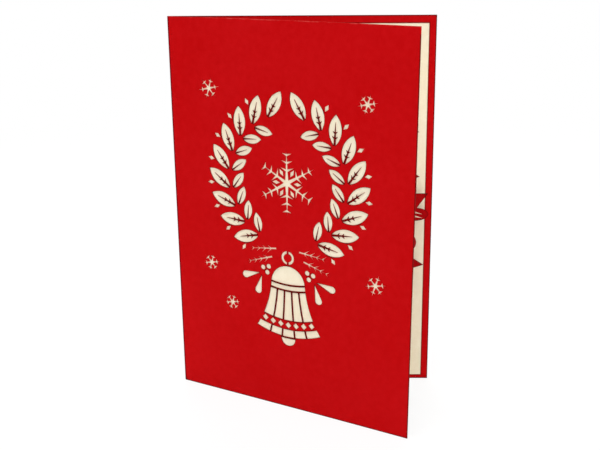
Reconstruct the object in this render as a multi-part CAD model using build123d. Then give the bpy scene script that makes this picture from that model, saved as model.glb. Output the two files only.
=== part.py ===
from build123d import *
import math
import os

# A tall greeting card that stands slightly open on its lower edges. The red cover is one
# folded sheet with a picture cut through its front panel. A cream liner, also one folded
# sheet, lies against its inside and shows through the cut picture. Between the panels a
# fir tree of slotted upright sheets folds out from both of them, with a low row of firs
# behind it. The spine is on the left and upright along Z, and the back panel runs along X.

# Sheets, in millimetres, and the angle between the panels, in degrees
card_height = 178.0
panel_width = 120.0
opening_angle = 28.5
cover_thickness = 0.30
liner_thickness = 0.30
crease_radius = 0.20
liner_top_margin = 3.6
liner_bottom_margin = 2.2
liner_side_margin = 3.0

# Fold-out sheets: stock, play of a slot where two sheets cross, and the gap between tabs
fold_out_thickness = 0.25
slot_play = 0.12
tab_gap = 1.0
arm_height = 9.0
ground_height = 46.0

# Fir tree of crossing sheets: its axis from the hinge along each panel, and its sheets
tree_along_back = 35.0
tree_along_front = 41.0
sheet_pitch = 7.0
sheets_each_way = 5
foot_margin = 2.7
bough_overhang = 6.5
tier_count = 5
tier_rise = 16.0
tier_droop = 3.4
tier_step = 4.7
tier_notch = 7.6

# Row of firs behind it: its small ones, by their distance from the outermost fir
row_along_front = 9.0
row_fir_gaps = (71.5, 49.5, 25.5)
row_fir_heights = (52.0, 68.0, 58.0)
row_fir_half_width = 10.5
row_fir_tiers = 4
row_fir_notch = 0.45

# Outermost fir of the row: its tiers as height and reach of the tip, and a tip's form
end_fir_inset = 25.5
end_fir_height = 94.0
end_fir_tiers = ((71.0, 19.3), (50.0, 20.0), (31.0, 18.0), (6.8, 22.7))
end_fir_waist_share = 0.45
end_fir_trunk = 5.0
bough_tip_length = 5.0
bough_tip_rise = 3.4
bough_tip_drop = 1.6

# Its ornaments: a flattened ball with slits that hangs by a tapered cap from the tip of a
# tier, and a round one above the lowest tier
hanging_tier = 1
hanger_inset = 2.0
hanger_length = 8.0
hanger_width = 1.2
cap_width = 12.0
cap_height = 8.4
cap_sink = 1.5
ball_half_width = 6.4
ball_half_height = 3.2
slit_length = 8.4
slit_width = 0.9
slit_pitch = 1.9
slit_tilt = -14.0
round_radius = 5.0
round_inset = 8.6
round_rise = 11.2

# Strut that holds the free end of the row at its distance from the back panel
strut_before_end_fir = 4.5
strut_tab_length = 7.0
strut_rise = 20.0
strut_height = 24.0

# Cut picture: how far the wreath's middle is above the panel's, strips left between cuts,
# and its line work
wreath_above_middle = 19.4
cut_strip = 1.5
cut_line = 0.75

# Wreath of leaf pairs that climb on both sides from the bell to the top
wreath_above_bell = 9.4
wreath_radius = 29.0
wreath_start_angle = -60.0
wreath_end_angle = 72.0
leaf_pitch = 8.3
outer_leaf_length = 13.5
outer_leaf_width = 6.0
outer_leaf_spread = 42.0
inner_leaf_length = 9.4
inner_leaf_width = 4.2
inner_leaf_spread = 48.0
bud_length = 3.6
bud_width = 1.9
bud_rise = 10.6
bud_lead = 5.0

# Ribs left standing in each leaf: share of the leaf, root half width and barbs
rib_share = 0.76
rib_half_width = 0.60
rib_barb_places = (0.30, 0.52)
rib_barb_length = 1.8
rib_barb_angle = 38.0
rib_barb_width = 0.75

# Fir twigs that fan out above the bell's shoulders, as u, v above the crown and angle
twig_length = 15.0
twig_half_width = 0.42
twig_barb_places = (0.17, 0.37, 0.57, 0.77)
twig_barb_length = 3.8
twig_barb_angle = 36.0
twig_barb_width = 0.68
twig_places = ((5.8, 7.6, -7.0), (8.0, 3.4, -18.0))

# Snowflakes: one inside the wreath, and small ones about it as u, v and radius
middle_flake_radius = 15.5
middle_flake_half_width = 0.80
middle_flake_barb_places = (0.34, 0.56, 0.78)
middle_flake_barb_length = 4.4
middle_flake_barb_width = 1.05
middle_flake_pane_reach = 5.3
middle_flake_pane_length = 4.0
middle_flake_pane_width = 1.8
flake_half_width = 0.46
flake_barb_places = (0.50,)
flake_barb_length = 2.0
flake_barb_angle = 60.0
flake_barb_width = 0.80
flake_turn = 12.0
small_flakes = (
    (-39.0, 39.0, 5.6), (38.0, 37.5, 4.8), (-41.0, -43.0, 4.8),
    (43.0, -40.0, 5.6), (-30.0, -61.0, 4.6),
)

# Mistletoe: paddle leaves, berries, and a sprig's place as u, v above the crown and angle
paddle_length = 9.5
paddle_radius = 1.7
paddle_spread = 30.0
berry_radius = 1.15
sprig_place = (13.2, -4.9, -45.0)

# Bell that hangs from the foot of the wreath
bell_height = 31.0
bell_shoulder_half = 8.6
bell_shoulder_share = 0.74
bell_waist_half = 10.6
bell_waist_share = 0.40
bell_mouth_half = 16.5
bell_lip_sag = 3.4
bell_lip_height = 3.6
bell_band_height = 4.6
bell_collar_height = 2.8
bell_flute_count = 5
bell_diamond_count = 7
bell_diamond_pitch = 4.0
bell_ring_radius = 3.2
bell_ring_width = 1.2
bell_clapper_radius = 3.6

turn = math.radians(opening_angle)
half_turn = turn / 2
up = Vector(0, 0, 1)
back_way = Vector(1, 0, 0)
back_inward = Vector(0, -1, 0)
front_way = Vector(math.cos(turn), -math.sin(turn), 0)
front_inward = Vector(math.sin(turn), math.cos(turn), 0)

# The hinge is the upright line where the inner faces of the two liner panels would meet.
# Everything is laid out from it and moved at the end, so that the origin is the middle of
# the card's box on the surface that it stands on.
crease_centre = Vector(crease_radius / math.tan(half_turn), -crease_radius, 0)
cover_outer_face = liner_thickness + cover_thickness
cover_outer_radius = crease_radius + cover_outer_face

tab_length = sheet_pitch - tab_gap
slot_width = fold_out_thickness / math.sin(turn) + fold_out_thickness / math.tan(turn)
arm_top = ground_height + arm_height
arm_middle = ground_height + arm_height / 2
tree_reach = sheet_pitch * (sheets_each_way - 1) / 2
foot_radius = math.hypot(tree_reach, tree_reach) + foot_margin
sheet_offsets = [k * sheet_pitch - tree_reach for k in range(sheets_each_way)]


def folded_sheet(inner_face, thickness, reach, bottom, top):
    """One sheet folded about the hinge, its inner face at the given distance outside the liner's."""
    outward = Vector(-math.cos(half_turn), math.sin(half_turn), 0)
    lines = []
    for face in (inner_face, inner_face + thickness):
        radius = crease_radius + face
        back_tangent = crease_centre - back_inward * radius
        front_tangent = crease_centre - front_inward * radius
        lines += [
            Line(back_way * reach - back_inward * face, back_tangent),
            ThreePointArc(back_tangent, crease_centre + outward * radius, front_tangent),
            Line(front_tangent, front_way * reach - front_inward * face),
        ]
    for way, inward in ((back_way, back_inward), (front_way, front_inward)):
        edge = way * reach - inward * inner_face
        lines.append(Line(edge, edge - inward * thickness))
    return Pos(0, 0, bottom) * extrude(make_face(lines), top - bottom, dir=(0, 0, 1))


# Cut picture: shapes in the plane of the front panel, u away from the spine and v upwards


def placed(shape, u, v, degrees=0.0):
    return Pos(u, v) * Rot(0, 0, degrees) * shape


def both_sides(shapes):
    """The shapes and their mirror images about the line u = 0."""
    return shapes + [mirror(shape, about=Plane.YZ) for shape in shapes]


def polar(radius, degrees):
    return radius * math.cos(math.radians(degrees)), radius * math.sin(math.radians(degrees))


def barbed_side(length, half_width, places, barb_length, barb_angle, barb_width):
    """Upper side of a tapering spine along u, with forward barbs that shorten to its point."""
    points = []
    for place in places:
        taper = 1 - place
        root = place * length
        reach_u, reach_v = polar(barb_length * (1 + taper) / 2, barb_angle)
        points += [
            (root, half_width * taper),
            (root + reach_u, half_width * taper + reach_v),
            (root + barb_width, half_width * (taper - barb_width / length)),
        ]
    return points + [(length, 0)]


def spine(root, half_width, side):
    """Face of a spine that is alike on both sides, from u = -root to its point."""
    upper = [(-root, half_width)] + side
    lower = [(u, -v) for u, v in reversed(upper[:-1])]
    return make_face(Polyline(*upper, *lower, close=True))


def leaf(length, width, barb_places):
    """Pointed leaf along u with its rib left standing, joined to the sheet at the leaf's root."""
    blade = make_face([
        ThreePointArc((0, 0), (length / 2, width / 2), (length, 0)),
        ThreePointArc((length, 0), (length / 2, -width / 2), (0, 0)),
    ])
    side = barbed_side(
        length * rib_share, rib_half_width, barb_places, rib_barb_length, rib_barb_angle, rib_barb_width
    )
    return blade - spine(width, rib_half_width, side)


def rhombus(length, width):
    return make_face(Polyline(
        (-length / 2, 0), (0, width / 2), (length / 2, 0), (0, -width / 2), close=True
    ))


def twig():
    side = barbed_side(
        twig_length, twig_half_width, twig_barb_places, twig_barb_length, twig_barb_angle, twig_barb_width
    )
    return spine(0, twig_half_width, side)


def snowflake(radius, half_width, barb_places, barb_length, barb_width):
    """Six barbed arms that run together in the middle."""
    side = barbed_side(radius, half_width, barb_places, barb_length, flake_barb_angle, barb_width)
    lower = [(u, -v) for u, v in side[:-1]]
    notch = (half_width / math.tan(math.radians(30)), half_width)
    points = []
    for k in range(6):
        c, s = polar(1, 60 * k)
        points += [(u * c - v * s, u * s + v * c) for u, v in lower + side[::-1] + [notch]]
    return make_face(Polyline(*points, close=True))


def wreath():
    """Right-hand half of the wreath, about its middle."""
    outer = leaf(outer_leaf_length, outer_leaf_width, rib_barb_places)
    inner = leaf(inner_leaf_length, inner_leaf_width, ())
    span = wreath_end_angle - wreath_start_angle
    pairs = max(2, int(math.radians(span) * wreath_radius / leaf_pitch) + 1)
    shapes = []
    for k in range(pairs):
        at = wreath_start_angle + span * k / (pairs - 1)
        climb = at + 90
        shapes.append(placed(outer, *polar(wreath_radius + cut_strip / 2, at), climb - outer_leaf_spread))
        if k < pairs - 1:
            shapes.append(placed(inner, *polar(wreath_radius - cut_strip / 2, at), climb + inner_leaf_spread))
            spot = polar(wreath_radius + bud_rise, at + bud_lead)
            shapes.append(placed(rhombus(bud_length, bud_width), *spot, at + bud_lead))
    return shapes


def mistletoe():
    """Two paddle leaves in a V and three berries at their root, pointing along u."""
    # The sides leave the leaf's root and touch its round end
    centre = paddle_length - paddle_radius
    u, v = polar(paddle_radius, math.degrees(math.acos(paddle_radius / centre)))
    one = make_face([
        Line((0, 0), (centre - u, v)),
        ThreePointArc((centre - u, v), (paddle_length, 0), (centre - u, -v)),
        Line((centre - u, -v), (0, 0)),
    ])
    shapes = [placed(one, *polar(cut_strip, angle), angle) for angle in (paddle_spread, -paddle_spread)]
    cluster = (2 * berry_radius + cut_line) / math.sqrt(3)
    for degrees in (60, 180, 300):
        u, v = polar(cluster, degrees)
        shapes.append(placed(Circle(berry_radius), u - cluster - berry_radius, v))
    return shapes


def bell_level(top, bottom):
    """Band across the bell between two heights, sagging as the bell's lip does."""
    lines = []
    for v in (top, bottom):
        lines.append(ThreePointArc((-bell_mouth_half, v), (0, v - bell_lip_sag), (bell_mouth_half, v)))
    for side in (-bell_mouth_half, bell_mouth_half):
        lines.append(Line((side, top), (side, bottom)))
    return make_face(lines)


def bell_rib(share):
    """Thin upright strip that follows the bell's side at a share of its half width."""
    foot = (bell_mouth_half * share, -bell_lip_sag)
    waist = (bell_waist_half * share, bell_height * bell_waist_share)
    shoulder = (bell_shoulder_half * share, bell_height * bell_shoulder_share)
    left, right = (
        [(u + edge, v) for u, v in (foot, waist, shoulder)] for edge in (-cut_line / 2, cut_line / 2)
    )
    return make_face([
        ThreePointArc(*left), Line(left[-1], right[-1]), ThreePointArc(*right), Line(left[0], right[0])
    ])


def bell():
    """Bell about the middle of its lip: dome, flutes, a row of diamonds, lip, clapper and ring."""
    shoulder_v = bell_height * bell_shoulder_share
    right = [
        (bell_shoulder_half, shoulder_v),
        (bell_waist_half, bell_height * bell_waist_share),
        (bell_mouth_half, 0),
    ]
    left = [(-u, v) for u, v in reversed(right)]
    body = make_face([
        ThreePointArc(left[-1], (0, bell_height), right[0]),
        ThreePointArc(*right),
        ThreePointArc(right[-1], (0, -bell_lip_sag), left[0]),
        ThreePointArc(*left),
    ])
    band_top = bell_lip_height + bell_band_height
    band_middle = bell_lip_height + bell_band_height / 2
    collar_top = shoulder_v + bell_collar_height
    dome = body - bell_level(shoulder_v, -cut_strip) - bell_level(collar_top, collar_top - cut_line)
    skirt = body & bell_level(shoulder_v - cut_line, band_top)
    lip = body & bell_level(bell_lip_height, -cut_strip)
    for k in range(1, bell_flute_count):
        rib = bell_rib(2 * k / bell_flute_count - 1)
        skirt -= rib
        lip -= rib
    shapes = [dome, skirt, lip]
    for k in range(bell_diamond_count):
        u = bell_diamond_pitch * (k - (bell_diamond_count - 1) / 2)
        v = band_middle - bell_lip_sag * (1 - (u / bell_mouth_half) ** 2)
        shapes.append(placed(RegularPolygon(bell_band_height / 2 - cut_line, 4), u, v))
    clapper = placed(Circle(bell_clapper_radius), 0, -bell_lip_sag - cut_line)
    shapes.append(clapper - bell_level(bell_lip_height, -cut_line))
    ring = Circle(bell_ring_radius) - Circle(bell_ring_radius - bell_ring_width)
    ring -= Rectangle(cut_line, 3 * bell_ring_radius)
    shapes.append(placed(ring, 0, bell_height + cut_line + bell_ring_radius))
    return shapes


def front_picture():
    """Everything that is cut through the front panel."""
    wreath_v = card_height / 2 + wreath_above_middle
    bell_crown = wreath_v - wreath_radius - wreath_above_bell
    bell_foot = bell_crown - bell_height
    middle_flake = snowflake(
        middle_flake_radius, middle_flake_half_width,
        middle_flake_barb_places, middle_flake_barb_length, middle_flake_barb_width,
    )
    pane = placed(rhombus(middle_flake_pane_length, middle_flake_pane_width), middle_flake_pane_reach, 0)
    shapes = both_sides(wreath()) + [placed(middle_flake, 0, 0, 30)]
    shapes += [placed(pane, 0, 0, 60 * k) for k in range(6)]
    for u, v, radius in small_flakes:
        small = snowflake(radius, flake_half_width, flake_barb_places, flake_barb_length, flake_barb_width)
        shapes.append(placed(small, u, v, flake_turn))
    shapes = [placed(shape, 0, wreath_v) for shape in shapes]
    shapes += [placed(shape, 0, bell_foot) for shape in bell()]
    sprays = [placed(twig(), u, bell_crown + v, angle) for u, v, angle in twig_places]
    u, v, angle = sprig_place
    sprays += [placed(shape, u, bell_crown + v, angle) for shape in mistletoe()]
    shapes += both_sides(sprays)
    return [placed(shape, panel_width / 2, 0) for shape in shapes]


def make_cover():
    """Red outer sheet with the picture cut through its front panel."""
    sheet = folded_sheet(liner_thickness, cover_thickness, panel_width, 0, card_height)
    panel = Plane(origin=(0, 0, 0), x_dir=front_way, z_dir=-front_inward)
    cutters = [extrude(panel * shape, amount=2 * cover_outer_face) for shape in front_picture()]
    return sheet - cutters


def make_liner():
    """Cream inner sheet, glued face to face to the cover and set in from its edges."""
    return folded_sheet(
        0, liner_thickness, panel_width - liner_side_margin,
        liner_bottom_margin, card_height - liner_top_margin,
    )


# Fold-out sheets. Each stands parallel to one panel and is glued to the other by a tab, so
# that every four sides that meet are a parallelogram and all of it folds flat with the card.


def folded_strip(path, way_out, thickness):
    """Plan of a strip along a path of straight runs, thickened to the side of way_out at each run."""
    inner = [path[0] + way_out[0] * thickness]
    for corner, before, after in zip(path[1:-1], way_out, way_out[1:]):
        inner.append(corner + (before + after) * (thickness / (1 + before.dot(after))))
    inner.append(path[-1] + way_out[-1] * thickness)
    return make_face(Polyline(*path, *reversed(inner), close=True))


def standing_sheet(outline, slots, way, inward, away, away_side, place):
    """Slotted sheet with its fold at place along one panel, and its glue tab on that panel."""
    fold = way * place
    plane = Plane(origin=fold, x_dir=away, z_dir=away.cross(up))
    sheet = extrude(plane * outline, amount=fold_out_thickness * plane.z_dir.dot(away_side))
    tab = folded_strip(
        [fold - way * tab_length, fold, fold + away * arm_height / 2],
        [inward, away_side], fold_out_thickness,
    )
    sheet += Pos(0, 0, ground_height) * extrude(tab, arm_height, dir=(0, 0, 1))
    for near, far, bottom, top in slots:
        cut = Pos((near + far) / 2, (bottom + top) / 2) * Rectangle(far - near, top - bottom)
        sheet -= extrude(plane * cut, amount=fold_out_thickness * 2, both=True)
    # What the slots cut loose falls away
    return max(sheet.solids(), key=lambda solid: solid.volume)


def slot(place, bottom, top):
    """Slot for the sheet whose fold is at place, wide enough for it at this opening angle."""
    return (place - slot_width - slot_play, place + slot_play, bottom, top)


def tree_profile():
    """Corners of the tree's outline as radius and height, from its foot to its top."""
    corners = [(foot_radius, ground_height)]
    radius, height = foot_radius, arm_top
    for k in range(tier_count):
        widest = foot_radius + bough_overhang - k * tier_step
        corners += [(radius, height), (widest, height - tier_droop)]
        radius = widest - tier_notch
        height += tier_rise
    slope = (tier_rise + tier_droop) / tier_notch
    return corners + [(0, corners[-1][1] + corners[-1][0] * slope)]


def tree_top_at(radius):
    """Height at which the tree first gets narrower than the radius, going up from its foot."""
    corners = tree_profile()
    for (r0, z0), (r1, z1) in zip(corners, corners[1:]):
        if r1 <= radius < r0:
            return z0 + (z1 - z0) * (r0 - radius) / (r0 - r1)
    return arm_top


def tree_outline(offset, centre):
    """Outline of the tree sheet at a distance from the tree's axis, with its arm to the panel."""
    top = tree_top_at(abs(offset))
    right = []
    for radius, height in tree_profile():
        if radius <= abs(offset):
            break
        right.append((math.sqrt(radius ** 2 - offset ** 2), height))
    points = right + [(0, top)] + [(-s, z) for s, z in reversed(right)]
    body = make_face(Polyline(*points, close=True))
    return Pos(centre, 0) * body + Pos(centre / 2, arm_middle) * Rectangle(centre, arm_height)


def tree_sheet_from_back(offset):
    """Tree sheet that is glued to the back panel, slotted from above."""
    slots = [slot(row_along_front, arm_middle, card_height)]
    for other in sheet_offsets:
        middle = (ground_height + tree_top_at(math.hypot(offset, other))) / 2
        slots.append(slot(tree_along_front + other, middle, card_height))
    return standing_sheet(
        tree_outline(offset, tree_along_front), slots,
        back_way, back_inward, front_way, -front_inward, tree_along_back + offset,
    )


def tree_sheet_from_front(offset):
    """Tree sheet that is glued to the front panel, slotted from below."""
    slots = []
    for other in sheet_offsets:
        middle = (ground_height + tree_top_at(math.hypot(offset, other))) / 2
        slots.append(slot(tree_along_back + other, 0, middle))
    return standing_sheet(
        tree_outline(offset, tree_along_back), slots,
        front_way, front_inward, back_way, -back_inward, tree_along_front + offset,
    )


def row_fir(height):
    """Small fir of the row: stacked drooping tiers that narrow to the top."""
    tier = height / row_fir_tiers
    right = []
    for k in range(row_fir_tiers):
        half = row_fir_half_width * (1 - k / (row_fir_tiers + 1))
        right += [(half, k * tier - tier_droop / 2), (half * row_fir_notch, (k + 1) * tier)]
    right[-1] = (0, height)
    left = [(-s, z) for s, z in reversed(right[:-1])]
    return make_face(Polyline(*right, *left, close=True))


def ornament():
    """Flattened ball with two slits under a tapered cap, hanging from the origin."""
    foot = -hanger_length - cap_height
    shape = Pos(0, -hanger_length / 2) * Rectangle(hanger_width, hanger_length)
    shape += make_face(Polyline(
        (-cap_width / 2, -hanger_length), (0, foot), (cap_width / 2, -hanger_length), close=True
    ))
    middle = foot + cap_sink - ball_half_height
    shape += Pos(0, middle) * Ellipse(ball_half_width, ball_half_height)
    for rise in (slit_pitch / 2, -slit_pitch / 2):
        shape -= placed(rhombus(slit_length, slit_width), 0, middle + rise, slit_tilt)
    return shape


def end_fir():
    """Outermost fir, with uneven tiers, and ornaments on its free side."""
    right = [(0, end_fir_height)]
    for tip, reach in end_fir_tiers:
        right += [
            (reach - bough_tip_length, tip + bough_tip_rise),
            (reach, tip),
            (reach - bough_tip_length, tip - bough_tip_drop),
            (reach * end_fir_waist_share, tip),
        ]
    right += [(end_fir_trunk, end_fir_tiers[-1][0]), (end_fir_trunk, -arm_height)]
    left = [(-s, z) for s, z in reversed(right[1:])]
    fir = make_face(Polyline(*right, *left, close=True))
    tip, reach = end_fir_tiers[hanging_tier]
    fir += placed(ornament(), reach - hanger_inset, tip)
    tip, reach = end_fir_tiers[-1]
    return fir + placed(Circle(round_radius), reach - round_inset, tip + round_rise)


def make_fir_row():
    """Low row of firs on a strip of ground, parallel to the back panel and close to it."""
    row_end = panel_width - row_along_front - end_fir_inset
    outline = Pos(row_end / 2, arm_middle) * Rectangle(row_end, arm_height)
    outline += Pos(row_end, arm_top) * end_fir()
    for gap, height in zip(row_fir_gaps, row_fir_heights):
        if row_end - gap > row_fir_half_width:
            outline += Pos(row_end - gap, arm_top) * row_fir(height)
    slots = [slot(tree_along_back + offset, 0, arm_middle) for offset in sheet_offsets]
    return standing_sheet(
        outline, slots, front_way, front_inward, back_way, -back_inward, row_along_front
    )


def make_row_strut():
    """Strut between the back panel and the row of firs, with a tab flat on each."""
    place = panel_width - row_along_front - end_fir_inset - strut_before_end_fir
    fold = back_way * place
    far_fold = fold + front_way * (row_along_front - 2 * fold_out_thickness / math.sin(turn))
    path = [fold - back_way * strut_tab_length, fold, far_fold, far_fold + back_way * strut_tab_length]
    section = folded_strip(path, [back_inward, -front_inward, back_inward], fold_out_thickness)
    return Pos(0, 0, arm_top + strut_rise) * extrude(section, strut_height, dir=(0, 0, 1))


x_low = crease_centre.X - cover_outer_radius
y_high = cover_outer_face
y_low = (front_way * panel_width - front_inward * cover_outer_face).Y
to_origin = Pos(-(x_low + panel_width) / 2, -(y_low + y_high) / 2, 0)

pieces = {
    "cover": make_cover(),
    "liner": make_liner(),
    "fir_row": make_fir_row(),
    "fir_row_strut": make_row_strut(),
}
for number, offset in enumerate(sheet_offsets, start=1):
    pieces[f"tree_sheet_from_back_{number}"] = tree_sheet_from_back(offset)
    pieces[f"tree_sheet_from_front_{number}"] = tree_sheet_from_front(offset)

os.makedirs("parts", exist_ok=True)
for name, piece in pieces.items():
    export_step(to_origin * piece, f"parts/{name}.step")
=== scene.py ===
import math

import bmesh
import bpy
import numpy as np
from mathutils import Matrix, Vector
from mathutils.geometry import delaunay_2d_cdt
from mathutils.kdtree import KDTree


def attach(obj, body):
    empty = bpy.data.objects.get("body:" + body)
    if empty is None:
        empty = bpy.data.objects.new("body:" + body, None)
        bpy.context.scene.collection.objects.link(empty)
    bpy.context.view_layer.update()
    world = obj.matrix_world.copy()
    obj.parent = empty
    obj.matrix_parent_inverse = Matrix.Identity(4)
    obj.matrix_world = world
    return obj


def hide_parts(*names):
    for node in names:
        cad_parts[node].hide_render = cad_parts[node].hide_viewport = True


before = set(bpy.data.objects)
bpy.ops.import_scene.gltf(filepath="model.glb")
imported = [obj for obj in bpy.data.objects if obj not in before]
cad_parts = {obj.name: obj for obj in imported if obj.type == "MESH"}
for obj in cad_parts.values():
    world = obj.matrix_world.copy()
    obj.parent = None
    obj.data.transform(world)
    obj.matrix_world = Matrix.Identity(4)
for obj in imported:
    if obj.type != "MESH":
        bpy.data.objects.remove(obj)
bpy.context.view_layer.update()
mm = 0.001

# The card stands on its lower edges. Its fold is upright, its back panel runs along x from the
# fold, and its front panel is turned towards the camera by the opening angle.
card = {
    "foldX": -59.994 * mm,
    "foldY": 28.593 * mm,
    "opening": math.radians(28.5),
    "width": 120.0 * mm,
    "height": 178.0 * mm,
}
# What the liner covers of each panel
liner = {
    "reach": 116.6 * mm,
    "bottom": 2.2 * mm,
    "top": 174.4 * mm,
}


def paint(red, green, blue):
    # A screen colour, 0 to 255, as the linear value that a shader takes
    levels = [c / 255 for c in (red, green, blue)]
    linear = [c / 12.92 if c <= 0.04045 else ((c + 0.055) / 1.055) ** 2.4 for c in levels]
    return (*linear, 1.0)


class Signal:
    # One output in a material's tree. Sums on it add Math nodes.
    def __init__(self, finish, socket):
        self.finish = finish
        self.socket = socket

    def math(self, operation, first, second=0.0):
        return self.finish.add("ShaderNodeMath", {"operation": operation}, {0: first, 1: second})

    def __add__(self, other):
        return self.math("ADD", self, other)

    def __sub__(self, other):
        return self.math("SUBTRACT", self, other)

    def __rsub__(self, other):
        return self.math("SUBTRACT", other, self)

    def __mul__(self, other):
        return self.math("MULTIPLY", self, other)

    __radd__ = __add__

    def between(self, low, high):
        # 0 below low, 1 above high, and smooth from one to the other
        settings = {"interpolation_type": "SMOOTHSTEP", "clamp": True}
        sockets = {0: self, 1: low, 2: high, 3: 0.0, 4: 1.0}
        return self.finish.add("ShaderNodeMapRange", settings, sockets)


class Finish:
    # The node tree of a material or of the world, built node by node
    def __init__(self, owner):
        owner.use_nodes = True
        self.tree = owner.node_tree
        self.tree.nodes.clear()
        self.place = self.add("ShaderNodeTexCoord", output="Object")

    def add(self, kind, settings=None, sockets=None, output=0):
        node = self.tree.nodes.new(kind)
        for key, value in (settings or {}).items():
            setattr(node, key, value)
        for key, value in (sockets or {}).items():
            if isinstance(value, Signal):
                self.tree.links.new(value.socket, node.inputs[key])
            else:
                node.inputs[key].default_value = value
        return Signal(self, node.outputs[output]) if len(node.outputs) else None

    def attribute(self, name, output):
        return self.add("ShaderNodeAttribute", {"attribute_name": name}, output=output)

    def noise(self, size, detail=2.0, roughness=0.5, stretch=(1, 1, 1)):
        # Cloudy noise from 0 to 1, with clouds about as large as size
        place = self.add(
            "ShaderNodeVectorMath", {"operation": "MULTIPLY"}, {0: self.place, 1: stretch}
        )
        sockets = {"Vector": place, "Scale": 1 / size, "Detail": detail, "Roughness": roughness}
        return self.add("ShaderNodeTexNoise", None, sockets)

    def blend(self, factor, first, second):
        settings = {"data_type": "RGBA"}
        return self.add("ShaderNodeMix", settings, {0: factor, 6: first, 7: second}, output=2)

    def paper(self, stock, colour, roughness, bump):
        # Ends the tree of a matt paper. The bump is a strength, a depth and a height.
        strength, depth, height = bump
        sockets = {"Strength": strength, "Distance": depth, "Height": height}
        shader = self.add("ShaderNodeBsdfPrincipled", None, {
            "Base Color": colour,
            "Roughness": roughness,
            "Specular IOR Level": stock["specular"],
            "Normal": self.add("ShaderNodeBump", None, sockets),
        })
        self.add("ShaderNodeOutputMaterial", None, {"Surface": shader})


# Stocks of the sheets: deep and light tone, tone scorched by the laser that also serves as painted
# shade, tone of the bare core that also serves as a painted highlight, of the flecks and of the
# painted crease shade, and how far the scorch and painted shade darken a cut edge
redStock = {
    "deep": paint(188, 0, 3),
    "light": paint(197, 11, 17),
    "burnt": paint(82, 6, 4),
    "core": paint(216, 96, 88),
    "fleck": paint(150, 2, 8),
    "crease": paint(98, 4, 18),
    "edgeBurn": 0.65,
    "roughness": 0.90,
    "specular": 0.06,
}
# The fold-outs take the cover's red with painted shade: deeper tones and a darker scorch, as they
# stand in the card's shade
foldOutRedPaintedShadeStock = {
    "deep": paint(150, 2, 6),
    "light": paint(172, 5, 11),
    "burnt": paint(66, 4, 4),
    "core": paint(140, 30, 30),
    "fleck": paint(128, 2, 8),
    "crease": paint(100, 3, 10),
    "edgeBurn": 0.9,
    "roughness": 0.90,
    "specular": 0.06,
}
creamStock = {
    "deep": paint(243, 230, 201),
    "light": paint(250, 241, 217),
    "burnt": paint(104, 66, 40),
    "core": paint(246, 240, 220),
    "fleck": paint(216, 202, 166),
    "crease": paint(226, 212, 178),
    "edgeBurn": 0.9,
    "roughness": 0.90,
    "specular": 0.08,
}

# Grain of the stocks: sizes of the noises, their mean, and how much each shows in tone and relief
grain = {
    "cloud": 34 * mm,
    "mottle": 2.6 * mm,
    "fibre": 0.34 * mm,
    "tooth": 0.16 * mm,
    "fibreStretch": (1, 1, 0.45),
    "fibreRoughness": 0.65,
    "mean": 0.5,
    "cloudTone": 0.5,
    "mottleTone": 0.9,
    "fibreTone": 0.9,
    "fibreRelief": 0.7,
    "toothRelief": 0.5,
    "mottleRelief": 0.8,
    "toothGloss": 0.08,
    "bumpDepth": 0.028 * mm,
    "bumpStrength": 0.55,
    "edgeBumpDepth": 0.014 * mm,
    "edgeBumpStrength": 0.6,
    "fleckFibre": (0.70, 0.80),
    "fleckMottle": (0.5, 0.6),
    "fleckTone": 0.5,
    "edgeTone": (0.3, 0.7),
}
# Painted shade along the crease at the fold, and the painted shade where the cover steps up
# round the liner
crease = {
    "width": 0.9 * mm,
    "softness": 1.8,
    "ragged": 0.4 * mm,
    "tone": 0.8,
}
shadeWidth = 0.35 * mm
# Scorch and painted shade of the rims: where it starts and is full, and how ragged it is. Below
# zero it means a painted highlight on the edge.
scorch = {
    "tone": (0.22, 0.9),
    "edgeTone": (0.2, 0.9),
    "ragged": 0.35,
    "wornFrom": (0.4, 1.0),
    "wornMottle": 0.6,
    "wornCloud": 0.4,
    "wornPatch": (0.42, 0.60),
    "wornTone": 0.5,
}


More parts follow.
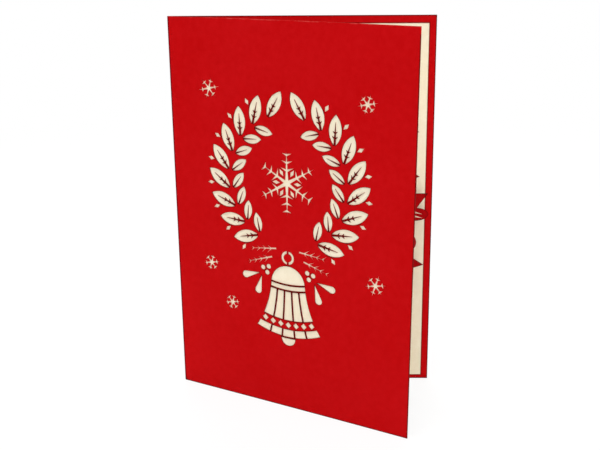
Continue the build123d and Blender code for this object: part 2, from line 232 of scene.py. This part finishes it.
def sheetFinish(name, stock):
    # Uncoated card: cloudy dye, short fibres, a few flecks, painted shade along the crease at the
    # fold, painted shade round the liner, a rim along each cut of laser scorch and painted shade,
    # and a painted highlight along the front panel's top edge
    material = bpy.data.materials.new(name)
    finish = Finish(material)
    cloud = finish.noise(grain["cloud"], detail=1.0)
    mottle = finish.noise(grain["mottle"], detail=3.0)
    fibre = finish.noise(
        grain["fibre"], detail=3.0, roughness=grain["fibreRoughness"], stretch=grain["fibreStretch"]
    )
    tooth = finish.noise(grain["tooth"])
    mean = grain["mean"]
    tone = (cloud - mean) * grain["cloudTone"] + (mottle - mean) * grain["mottleTone"]
    tone = tone + (fibre - mean) * grain["fibreTone"] + mean
    colour = finish.blend(tone.between(0.0, 1.0), stock["deep"], stock["light"])
    fleck = fibre.between(*grain["fleckFibre"]) * mottle.between(*grain["fleckMottle"])
    colour = finish.blend(fleck * grain["fleckTone"], colour, stock["fleck"])

    laid = finish.attribute("laid", "Vector")
    reach, height, shaded = (
        finish.add("ShaderNodeSeparateXYZ", None, {0: laid}, output=axis) for axis in "XYZ"
    )
    # Painted shade: the crease tone darkens a band along the fold, where it turns from the light
    fromFold = reach + (fibre - mean) * crease["ragged"]
    creaseShadeMask = 1 - fromFold.between(crease["width"], crease["softness"] * crease["width"])
    colour = finish.blend(creaseShadeMask * crease["tone"], colour, stock["crease"])
    # Painted shade round the liner's outline, in the scorch's brown, on faces looking into the card
    linerMiddle = (liner["top"] + liner["bottom"]) / 2
    linerHalf = (liner["top"] - liner["bottom"]) / 2
    above = height.math("ABSOLUTE", height - linerMiddle) - linerHalf
    beside = above.math("MAXIMUM", above, reach - liner["reach"])
    shade = beside.between(-shadeWidth, 0.0) * (1 - beside.between(shadeWidth, 2 * shadeWidth))
    colour = finish.blend(shade * shaded, colour, stock["burnt"])

    # The rim along each cut is laser scorch and painted shade, in the scorch's dark brown
    rim = finish.attribute("scorch", "Fac")
    burnAndShade = (rim + (fibre - mean) * scorch["ragged"] * rim).between(*scorch["tone"])
    colour = finish.blend(burnAndShade, colour, stock["burnt"])
    # Painted highlight: patches of the pale core tone where the rim's value is below zero
    highlightPatches = mottle * scorch["wornMottle"] + cloud * scorch["wornCloud"]
    paintedHighlight = (0 - rim).between(*scorch["wornFrom"]) * highlightPatches.between(*scorch["wornPatch"])
    colour = finish.blend(paintedHighlight * scorch["wornTone"], colour, stock["core"])

    relief = fibre * grain["fibreRelief"] + tooth * grain["toothRelief"]
    relief = relief + mottle * grain["mottleRelief"]
    roughness = stock["roughness"] + (tooth - mean) * grain["toothGloss"]
    finish.paper(stock, colour, roughness, (grain["bumpStrength"], grain["bumpDepth"], relief))
    return material


def edgeFinish(name, stock):
    # The narrow cut faces: browned like the rim beside them, by laser scorch and painted shade, and
    # bare core elsewhere
    material = bpy.data.materials.new(name)
    finish = Finish(material)
    tooth = finish.noise(grain["tooth"])
    rim = finish.attribute("scorch", "Fac")
    core = finish.blend(tooth.between(*grain["edgeTone"]), stock["light"], stock["core"])
    burnAndShade = rim.between(*scorch["edgeTone"]) * stock["edgeBurn"]
    colour = finish.blend(burnAndShade, core, stock["burnt"])
    bump = (grain["edgeBumpStrength"], grain["edgeBumpDepth"], tooth)
    finish.paper(stock, colour, stock["roughness"], bump)
    return material


redPaper = sheetFinish("redCard", redStock)
redEdge = edgeFinish("redCardEdge", redStock)
# The fold-outs' red carries painted shade
foldOutRedPaintedShadePaper = sheetFinish("redFoldOut", foldOutRedPaintedShadeStock)
foldOutRedPaintedShadeEdge = edgeFinish("redFoldOutEdge", foldOutRedPaintedShadeStock)
creamPaper = sheetFinish("creamCard", creamStock)
creamEdge = edgeFinish("creamCardEdge", creamStock)
print("materials made")

# Each sheet is laid out again on its CAD node's own outline, with an even net of points so
# that it can bend a little, and a narrow rim of points along each cut for the scorch and the
# painted shade.
lay = {
    "same": 1e-7,  # corners of the CAD mesh nearer than this are one, in metres
    "speck": 1e-8,  # sides of its faces shorter than this are dissolved, in metres
    "samePlane": 0.9999,  # cosine within which two faces share a plane
    "cutCorner": 0.5,  # cosine below which two faces meet at a cut, and not at a bend
    "facing": 0.9,  # cosine above which a face looks a given way
    "upright": 0.1,  # an upright face has less than this of its normal along z
    "wide": 1.2 * mm,  # a face wider than this on average is a side of the sheet
    "foldRadius": 2 * mm,  # the rounded fold lies nearer than this to the hinge
    "pitch": 4.0 * mm,  # distance between points of the net
    "clear": 1.1 * mm,  # nearest that the net comes to a cut
    "rim": 0.30 * mm,  # width of the scorched rim of a cut-out
    "rimRoom": 0.94,  # share of its width that a point of a rim keeps from every cut
    "linkRoom": 0.8,  # share of it that a link between two points of a rim keeps
    "rimPitch": 0.8 * mm,  # distance between points along a rim
    "rimTurn": math.radians(40),  # a rim turns round a tip by steps of up to this
    "spike": 0.1,  # a corner sharper than this gets no point of the rim
    "apart": 0.06 * mm,  # points of the rims nearer than this are one
    "sample": 0.10 * mm,  # distance between points that stand for a cut when distances are read
    "hotStrip": 1.9 * mm,  # a strip narrower than this between two cuts is browner all over
    "aheadCosine": 0.5,  # cosine within which another cut lies ahead across a strip
    "fullBurn": 1.6 * mm,  # a cut-out narrower than this on average is browned less
    "tolerance": 1e-6,  # of the triangulation, in millimetres
    "batch": 4000000,  # pairs of points and runs that are compared at once
    "sharp": math.radians(35),  # an edge sharper than this stays sharp
}

# How the card has relaxed, in millimetres: how far the free edges of the panels stand off their
# planes, outwards, how much further the back panel reaches at its top and bottom, how much higher
# the fold and the middle of the front panel are at the top, and how far the fold stands out
bow = {
    "frontTop": -0.7,
    "frontBottom": 1.1,
    "frontMiddle": -0.5,
    "backTop": 0.5,
    "backBottom": -0.9,
    "backMiddle": 0.3,
    "backReachTop": -0.35,
    "backReachBottom": 0.85,
    "foldLift": 0.4,
    "frontLift": 0.3,
    "foldOut": 0.45,
}
# A point on the hinge itself is taken to be this far from it, in metres
leastRadius = 1e-6


def settle(points, reachScale):
    # Turns each point a little about the fold, so that the panels bow and what touches stays so
    x = points[:, 0] - card["foldX"]
    y = points[:, 1] - card["foldY"]
    radius = np.maximum(np.hypot(x, y), leastRadius) * reachScale
    angle = np.arctan2(-y, x)
    share = np.clip(angle / card["opening"], 0, 1)
    out = radius / card["width"]
    rise = points[:, 2] / card["height"]
    belly = np.sin(np.pi * np.clip(out, 0, 1)) * out * np.sin(np.pi * rise)
    front = out ** 2 * (bow["frontBottom"] + (bow["frontTop"] - bow["frontBottom"]) * rise)
    front += bow["frontMiddle"] * belly
    back = out ** 2 * (bow["backBottom"] + (bow["backTop"] - bow["backBottom"]) * rise)
    back += bow["backMiddle"] * belly
    turned = angle + (share * front - (1 - share) * back) * mm / radius
    reach = bow["backReachBottom"] + (bow["backReachTop"] - bow["backReachBottom"]) * rise
    reached = radius + out * (1 - share) * reach * mm
    fromEdge = np.clip(1 - out, 0, 1)
    lift = bow["foldLift"] * fromEdge + bow["frontLift"] * share * np.sin(np.pi * fromEdge)
    return np.stack([
        card["foldX"] + reached * np.cos(turned) - bow["foldOut"] * fromEdge * mm,
        card["foldY"] - reached * np.sin(turned),
        points[:, 2] + rise * lift * mm,
    ], axis=1)


def flatRegions(bm):
    # Groups of neighbouring faces that lie in one plane, and the number of each face's group
    owner = {}
    regions = []
    for seed in bm.faces:
        if seed in owner:
            continue
        region = [seed]
        owner[seed] = len(regions)
        for face in region:
            for edge in face.edges:
                for other in edge.link_faces:
                    if other not in owner and other.normal.dot(seed.normal) > lay["samePlane"]:
                        owner[other] = len(regions)
                        region.append(other)
        regions.append(region)
    return regions, owner


def inside(points, starts, ends):
    # Which points lie inside the border, by counting the runs to their right
    found = []
    batches = max(1, len(points) * len(starts) // lay["batch"])
    with np.errstate(divide="ignore", invalid="ignore"):
        for part in np.array_split(points, batches):
            x, y = part[:, :1], part[:, 1:]
            spans = (starts[:, 1] > y) != (ends[:, 1] > y)
            slope = (ends[:, 0] - starts[:, 0]) / (ends[:, 1] - starts[:, 1])
            crossed = spans & (x < starts[:, 0] + (y - starts[:, 1]) * slope)
            found.append(crossed.sum(axis=1) % 2 == 1)
    return np.concatenate(found)


def closedRings(after):
    # The border's points in order, ring by ring
    left = set(after)
    while left:
        ring = [left.pop()]
        while after[ring[-1]][0] in left:
            ring.append(after[ring[-1]][0])
            left.discard(ring[-1])
        yield ring


def ringArea(ring):
    x, y = ring.T
    return (x * np.roll(y, -1) - np.roll(x, -1) * y).sum() / 2


class Rims:
    # Spots a little inside the cuts of one flat region, in millimetres, and each one's scorch and
    # painted shade
    def __init__(self, spots, starts, ends):
        self.spots = spots
        self.scorch = {}
        self.taken = {}
        lengths = np.hypot(*(ends - starts).T)
        counts = np.maximum(1, (lengths * mm / lay["sample"]).astype(int))
        samples = np.concatenate([
            a + (b - a) * (np.arange(n)[:, None] / n) for a, b, n in zip(starts, ends, counts)
        ])
        self.tree = KDTree(len(samples))
        for k, sample in enumerate(samples):
            self.tree.insert((*sample, 0), k)
        self.tree.balance()

    def room(self, spot):
        return self.tree.find((*spot, 0))[2]

    def isClear(self, one, two, width):
        # Whether the link between two spots stays away from the cuts
        one, two = Vector(self.spots[one]), Vector(self.spots[two])
        steps = max(1, int((two - one).length * mm / lay["sample"]))
        least = lay["linkRoom"] * width
        return all(self.room(one.lerp(two, k / steps)) > least for k in range(1, steps))

    def add(self, start, inward, width, burnAndShade):
        # The number of a spot inside a cut, in a list, or nothing where another cut is too near
        spot = start + inward * width
        if self.room(spot) < lay["rimRoom"] * width:
            return []
        apart = lay["apart"] / mm
        column, row = round(spot.x / apart), round(spot.y / apart)
        for cell in ((column + i, row + j) for i in (-1, 0, 1) for j in (-1, 0, 1)):
            other = self.taken.get(cell)
            if other and (Vector(self.spots[other]) - spot).length < apart:
                return [other]
        number = len(self.spots)
        self.taken[column, row] = number
        strip = lay["hotStrip"] / mm
        ahead = [
            distance for place, k, distance in self.tree.find_range((*spot, 0), strip)
            if (place.xy - spot).dot(inward) > lay["aheadCosine"] * distance * inward.length
        ]
        self.scorch[number] = burnAndShade * (1 - min(ahead, default=strip) / strip)
        self.spots.append(tuple(spot))
        return [number]

    def turn(self, corner, one, two, width, burnAndShade):
        # Spots about a corner, between cuts that run in along one and out along two
        opening = 1 + one.dot(two)
        bend = math.atan2(one.x * two.y - one.y * two.x, one.dot(two))
        if bend > -lay["rimTurn"] / 2:
            if opening <= lay["spike"]:
                return []
            inward = Vector((-one.y - two.y, one.x + two.x)) / opening
            return self.add(corner, inward, width, burnAndShade)
        steps = math.ceil(-bend / lay["rimTurn"])
        found = []
        for k in range(steps + 1):
            inward = Matrix.Rotation(bend * k / steps, 2) @ Vector((-one.y, one.x))
            found += self.add(corner, inward, width, burnAndShade)
        return found


class Sheet:
    # The new mesh of one sheet, while it is laid out. A run is a piece of a flat region's border,
    # from one point to the next, and may lie along a cut or along a bend.
    def __init__(self, cut):
        self.cut = cut
        self.bm = bmesh.new()
        self.bm.from_mesh(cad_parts[cut["node"]].data)
        bmesh.ops.remove_doubles(self.bm, verts=self.bm.verts, dist=lay["same"])
        bmesh.ops.dissolve_degenerate(self.bm, edges=self.bm.edges, dist=lay["speck"])
        self.bm.normal_update()
        self.bm.verts.index_update()
        self.points = [v.co.copy() for v in self.bm.verts]
        self.faces = []
        self.isEdge = []
        self.shades = []
        self.scorch = {}
        self.regions, self.owner = flatRegions(self.bm)
        self.splits = {}
        for edge in self.bm.edges:
            if len({self.owner[face] for face in edge.link_faces}) > 1:
                self.splits[edge] = self.split(edge)

    def split(self, edge):
        # Points along a border's edge, shared by the regions on both sides of it
        start, end = (v.co for v in edge.verts)
        count = int((end - start).length / lay["pitch"])
        first = len(self.points)
        self.points += [start.lerp(end, k / (count + 1)) for k in range(1, count + 1)]
        return list(range(first, first + count))

    def isCut(self, edge):
        one, two = edge.link_faces[:2]
        return one.normal.dot(two.normal) < lay["cutCorner"]

    def isSide(self, region, reach):
        # A side of the sheet is wide, or is one of the narrow strips of the rounded fold
        area = sum(face.calc_area() for face in region)
        if reach and area / (reach * mm) > lay["wide"]:
            return True
        middle = region[0].calc_center_median()
        toFold = math.hypot(middle.x - card["foldX"], middle.y - card["foldY"])
        return toFold < lay["foldRadius"] and abs(region[0].normal.z) < lay["upright"]

    def linerShade(self, region):
        # The faces that look into the card are shaded along the liner's outline
        middle = region[0].calc_center_median()
        x, y = middle.x - card["foldX"], card["foldY"] - middle.y
        inward = 1 if math.atan2(y, x) < card["opening"] / 2 else -1
        across = Vector((-y, -x, 0)).normalized()
        looksIn = region[0].normal.dot(across) * inward > lay["facing"]
        return self.cut["linerShade"] if looksIn else 0.0

    def outlineScorch(self, index):
        # The top edge of the front panel has its own share of the outline's scorch and painted
        # shade;
        # below zero that share makes a painted highlight
        x, y, z = self.points[index]
        isFront = math.atan2(card["foldY"] - y, x - card["foldX"]) > card["opening"] / 2
        isTop = z > card["height"] - lay["rim"]
        return self.cut["outlineScorch"] * (self.cut["paleTop"] if isFront and isTop else 1)

    def runs(self, region):
        # The region's border as runs, with the region on their left: start, end, is it a cut
        found = []
        for face in region:
            for corner in face.loops:
                edge = corner.edge
                if edge not in self.splits:
                    continue
                between = self.splits[edge]
                if corner.vert != edge.verts[0]:
                    between = between[::-1]
                chain = [corner.vert.index, *between, corner.link_loop_next.vert.index]
                found += [(a, b, self.isCut(edge)) for a, b in zip(chain, chain[1:])]
        return found

    def addFaces(self, faces, region, isSide):
        self.faces += faces
        self.isEdge += [not isSide] * len(faces)
        self.shades += [self.linerShade(region)] * len(faces)

    def layRegion(self, region):
        runs = self.runs(region)
        if len(runs) > 4:
            self.layNet(region, runs)
            return
        # Three or four runs, such as round a wall of a cut, stay one face
        after = {a: b for a, b, isCut in runs}
        ring = [runs[0][0]]
        while len(ring) < len(runs):
            ring.append(after[ring[-1]])
        self.addFaces([ring], region, self.isSide(region, 0))

    def layNet(self, region, runs):
        # Triangles between the border, the rims and the net, worked out in the region's plane
        normal = region[0].normal.copy()
        isUpright = abs(normal.z) < lay["facing"]
        across = Vector((0, 0, 1)).cross(normal) if isUpright else Vector((1, 0, 0))
        across.normalize()
        along = normal.cross(across)
        origin = self.points[runs[0][0]].copy()
        border = sorted({index for run in runs for index in run[:2]})
        local = {index: k for k, index in enumerate(border)}
        offsets = [(self.points[index] - origin) / mm for index in border]
        spots = [(offset.dot(across), offset.dot(along)) for offset in offsets]
        links = [(local[a], local[b]) for a, b, isCut in runs]
        borderLinks = list(links)
        starts = np.array([spots[a] for a, b in links])
        ends = np.array([spots[b] for a, b in links])
        isSide = self.isSide(region, np.ptp(np.array(spots), axis=0).max())
        scorched = self.addRims(runs, local, spots, links, starts, ends) if isSide else {}

        vectors = [Vector(spot) for spot in spots]
        laid = delaunay_2d_cdt(vectors, links, [], 0, lay["tolerance"], True)
        laidSpots = np.array([tuple(spot) for spot in laid[0]])
        corners = np.array(laid[2])
        sources = laid[3]
        kept = inside(laidSpots[corners].mean(axis=1), starts, ends)
        # A triangle along the border is inside if it lies on the left of its run
        laidAs = {k: spot for spot, used in enumerate(sources) for k in used}
        borderRuns = {(laidAs[a], laidAs[b]) for a, b in borderLinks}
        for number, (a, b, c) in enumerate(corners.tolist()):
            if not borderRuns.isdisjoint(((a, b), (b, c), (c, a))):
                kept[number] = True
            elif not borderRuns.isdisjoint(((b, a), (c, b), (a, c))):
                kept[number] = False

        made = {}
        for k, index in enumerate(border):
            made.setdefault(laidAs[k], index)
        faces = []
        for triangle in corners[kept].tolist():
            for spot in triangle:
                if spot in made:
                    continue
                u, v = laidSpots[spot]
                made[spot] = len(self.points)
                self.points.append(origin + (across * u + along * v) * mm)
                values = (scorched.get(k, 0) for k in sources[spot])
                self.scorch[made[spot]] = max(values, default=0)
            faces.append([made[spot] for spot in triangle])
        self.addFaces(faces, region, isSide)

    def addRims(self, runs, local, spots, links, starts, ends):
        # Adds spots and links a rim's width inside the cuts, and the net in the middle, and gives
        # the scorch and painted shade of each spot of a rim
        rims = Rims(spots, starts, ends)
        after = {a: (b, isCut) for a, b, isCut in runs}
        before = {b: (a, isCut) for a, b, isCut in runs}
        rings = list(closedRings(after))
        shapes = [np.array([spots[local[index]] for index in ring]) for ring in rings]
        areas = [ringArea(shape) for shape in shapes]
        around, widths, burnsAndShades = {}, {}, {}
        for ring, shape, area in zip(rings, shapes, areas):
            isOutline = area == max(areas)
            width = (self.cut["outlineRim"] if isOutline else lay["rim"]) / mm
            length = np.hypot(*(shape - np.roll(shape, 1, axis=0)).T).sum()
            meanWidth = 2 * abs(area) / length
            burnAndShade = self.cut["windowScorch"] * min(1, meanWidth / (lay["fullBurn"] / mm))
            for index in ring:
                widths[index] = width
                burnsAndShades[index] = burnAndShade
                a, cutBefore = before[index]
                b, cutAfter = after[index]
                if cutBefore or cutAfter:
                    own = self.outlineScorch(index) if isOutline else burnAndShade
                    self.scorch[index] = max(self.scorch.get(index, -1), own)
                if cutBefore and cutAfter:
                    corner = Vector(spots[local[index]])
                    one = (corner - Vector(spots[local[a]])).normalized()
                    two = (Vector(spots[local[b]]) - corner).normalized()
                    around[index] = rims.turn(corner, one, two, width, burnAndShade)
        for a, b, isCut in runs:
            if not isCut:
                continue
            start, end = Vector(spots[local[a]]), Vector(spots[local[b]])
            ahead = (end - start).normalized()
            inward = Vector((-ahead.y, ahead.x))
            steps = int((end - start).length * mm / lay["rimPitch"])
            chain = around.get(a, [])[-1:]
            for k in range(1, steps):
                chain += rims.add(start.lerp(end, k / steps), inward, widths[a], burnsAndShades[a])
            chain += around.get(b, [])
            for one, two in zip(chain, chain[1:]):
                if one != two and rims.isClear(one, two, widths[a]):
                    links.append((one, two))
        pitch, clear = lay["pitch"] / mm, lay["clear"] / mm
        lows, highs = starts.min(axis=0) + pitch / 2, starts.max(axis=0)
        columns, rows = (np.arange(low, high, pitch) for low, high in zip(lows, highs))
        net = np.stack(np.meshgrid(columns, rows), axis=-1).reshape(-1, 2)
        if len(net):
            net = net[inside(net, starts, ends)]
            spots += [tuple(spot) for spot in net if rims.room(spot) > clear]
        return rims.scorch

    def build(self):
        for region in self.regions:
            self.layRegion(region)
        self.bm.free()
        asCut = np.array([tuple(point) for point in self.points])
        settled = settle(asCut, self.cut["reachScale"])
        mesh = bpy.data.meshes.new(self.cut["name"])
        mesh.from_pydata(settled.tolist(), [], self.faces)
        mesh.materials.append(self.cut["paper"])
        mesh.materials.append(self.cut["edge"])
        mesh.polygons.foreach_set("material_index", [int(isEdge) for isEdge in self.isEdge])

        values = np.zeros(len(asCut), np.float32)
        for index, value in self.scorch.items():
            values[index] = value
        mesh.attributes.new("scorch", "FLOAT", "POINT").data.foreach_set("value", values)
        # Distance from the fold, height, and share of the painted shade round the liner, at each
        # face's corners
        fromFold = np.hypot(asCut[:, 0] - card["foldX"], asCut[:, 1] - card["foldY"])
        reach = fromFold * self.cut["reachScale"]
        corners = np.concatenate(self.faces)
        shades = np.repeat(self.shades, [len(face) for face in self.faces])
        laid = np.stack([reach[corners], asCut[corners, 2], shades], axis=1)
        attribute = mesh.attributes.new("laid", "FLOAT_VECTOR", "CORNER")
        attribute.data.foreach_set("vector", laid.ravel())

        mesh.polygons.foreach_set("use_smooth", [True] * len(mesh.polygons))
        mesh.update()
        mesh.set_sharp_from_angle(angle=lay["sharp"])
        piece = bpy.data.objects.new(self.cut["name"], mesh)
        bpy.context.scene.collection.objects.link(piece)
        return piece


# The sheets: the node that each replaces, its finishes and slot, how brown its cut-outs and its
# outline are with scorch and painted shade, the width of the outline's brown rim, and the share of
# that brown on the top edge of the front panel, where less than zero is a painted highlight. Then
# how dark the painted shade round the liner is, and the scale of the distance from the fold, which
# sets the liner in a little.
coverSheet = {
    "name": "coverSheet",
    "node": "cover",
    "paper": redPaper,
    "edge": redEdge,
    "slot": "cover_red",
    "windowScorch": 1.0,
    "outlineScorch": 1.0,
    "outlineRim": 0.85 * mm,
    "paleTop": -1.0,
    "linerShade": 0.6,
    "reachScale": 1.0,
}
linerSheet = {
    "name": "linerSheet",
    "node": "liner",
    "paper": creamPaper,
    "edge": creamEdge,
    "slot": "liner_cream",
    "windowScorch": 0.0,
    "outlineScorch": 0.6,
    "outlineRim": 0.45 * mm,
    "paleTop": 1.0,
    "linerShade": 0.0,
    "reachScale": 0.9966,
}
# The fold-outs are finished in the red with painted shade
firRow = {
    "name": "firRow",
    "node": "fir_row",
    "paper": foldOutRedPaintedShadePaper,
    "edge": foldOutRedPaintedShadeEdge,
    "slot": "fold_out_red",
    "windowScorch": 0.9,
    "outlineScorch": 0.8,
    "outlineRim": 0.50 * mm,
    "paleTop": 1.0,
    "linerShade": 0.0,
    "reachScale": 1.0,
}
firRowStrut = dict(firRow, name="firRowStrut", node="fir_row_strut", outlineScorch=0.5)
treeSheetFromBack = dict(
    firRow, name="treeSheetFromBack", node="tree_sheet_from_back_", slot="fold_out_cream",
    paper=creamPaper, edge=creamEdge, outlineScorch=0.35, windowScorch=0.4,
)
treeSheetFromFront = dict(
    firRow, name="treeSheetFromFront", node="tree_sheet_from_front_", outlineScorch=0.6
)
sheetsEachWay = 5
sheets = [coverSheet, linerSheet, firRow, firRowStrut]
for number in range(1, sheetsEachWay + 1):
    for sheet in (treeSheetFromBack, treeSheetFromFront):
        sheets.append(dict(sheet, name=f"{sheet['name']}{number}", node=f"{sheet['node']}{number}"))
for sheet in sheets:
    piece = Sheet(sheet).build()
    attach(piece, "root")
    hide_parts(sheet["node"])
    print(sheet["name"], "laid out with", len(piece.data.polygons), "faces")

# The floor turns from a plain one that keeps the card's shadow to pure white further off
studio = {
    "ambient": 0.28,
    "floorSize": 6.0,
    "floorColour": paint(250, 250, 250),
    "floorGlow": 0.86,
    "shadowReach": 0.20,
    "whiteFrom": 0.75,
    "lampSize": 5.5,
    "lampAim": (0.0, 0.0, 0.09),
    # place and power
    "lamps": (
        ((-1.54, -2.67, 8.55), 590.0),
        ((7.32, -4.23, 3.17), 335.0),
        ((0.00, 4.50, 7.88), 350.0),
    ),
}
white = (1.0, 1.0, 1.0, 1.0)


def seenDirectly(finish):
    # 1 where the camera sees the surface, directly or in gloss or glass
    path, glossy, clear = (
        finish.add("ShaderNodeLightPath", output=f"Is {ray} Ray")
        for ray in ("Camera", "Glossy", "Transmission")
    )
    return path.math("MAXIMUM", path, glossy.math("MAXIMUM", glossy, clear))


floorMaterial = bpy.data.materials.new("floor")
floorFinish = Finish(floorMaterial)
away = floorFinish.add(
    "ShaderNodeVectorMath", {"operation": "LENGTH"}, {0: floorFinish.place}, output="Value"
)
faded = away.between(studio["shadowReach"], studio["whiteFrom"])
glow = faded * (1 - studio["floorGlow"]) + studio["floorGlow"]
plainFloor = floorFinish.add("ShaderNodeBsdfDiffuse", None, {"Color": studio["floorColour"]})
whiteFloor = floorFinish.add("ShaderNodeEmission", None, {"Color": white, "Strength": 1.0})
floorShader = floorFinish.add(
    "ShaderNodeMixShader", None, {0: seenDirectly(floorFinish) * glow, 1: plainFloor, 2: whiteFloor}
)
floorFinish.add("ShaderNodeOutputMaterial", None, {"Surface": floorShader})
bpy.ops.mesh.primitive_plane_add(size=studio["floorSize"])
floor = bpy.context.object
floor.name = "floor"
floor.data.materials.append(floorMaterial)

world = bpy.data.worlds.new("studio")
bpy.context.scene.world = world
sky = Finish(world)
dim = sky.add("ShaderNodeBackground", None, {"Color": white, "Strength": studio["ambient"]})
bright = sky.add("ShaderNodeBackground", None, {"Color": white, "Strength": 1.0})
skyShader = sky.add("ShaderNodeMixShader", None, {0: seenDirectly(sky), 1: dim, 2: bright})
sky.add("ShaderNodeOutputWorld", None, {"Surface": skyShader})

for number, (place, power) in enumerate(studio["lamps"], start=1):
    lampData = bpy.data.lights.new(f"softbox{number}", "AREA")
    lampData.shape = "SQUARE"
    lampData.size = studio["lampSize"]
    lampData.energy = power
    lamp = bpy.data.objects.new(f"softbox{number}", lampData)
    lamp.location = place
    aim = Vector(studio["lampAim"]) - Vector(place)
    lamp.rotation_euler = aim.to_track_quat("-Z", "Y").to_euler()
    bpy.context.scene.collection.objects.link(lamp)
print("studio lit")

# The camera of the photograph, in pixels of a 600 by 450 picture, millimetres and degrees
shot = {
    "focal": 905.3,
    "place": (0.9, -383.2, 209.0),
    "yaw": 0.43,
    "pitch": 17.31,
    "roll": -0.50,
    "pictureWidth": 600,
    "sensor": 36.0,
    "clipStart": 10.0,
}


def aimCamera():
    yaw, pitch, roll = (math.radians(shot[key]) for key in ("yaw", "pitch", "roll"))
    level = Vector((math.cos(yaw), math.sin(yaw), 0))
    ahead = Vector((-math.sin(yaw), math.cos(yaw), 0))
    upright = Vector((0, 0, 1))
    forward = ahead * math.cos(pitch) - upright * math.sin(pitch)
    upward = ahead * math.sin(pitch) + upright * math.cos(pitch)
    right = level * math.cos(roll) + upward * math.sin(roll)
    top = upward * math.cos(roll) - level * math.sin(roll)
    cameraData = bpy.data.cameras.new("camera")
    cameraData.sensor_width = shot["sensor"]
    cameraData.lens = shot["focal"] * shot["sensor"] / shot["pictureWidth"]
    cameraData.clip_start = shot["clipStart"] * mm
    camera = bpy.data.objects.new("camera", cameraData)
    turned = Matrix((right, top, -forward)).transposed().to_4x4()
    camera.matrix_world = Matrix.Translation(Vector(shot["place"]) * mm) @ turned
    bpy.context.scene.collection.objects.link(camera)
    bpy.context.scene.camera = camera


aimCamera()
bpy.context.scene.view_settings.view_transform = "Standard"
print("camera placed")
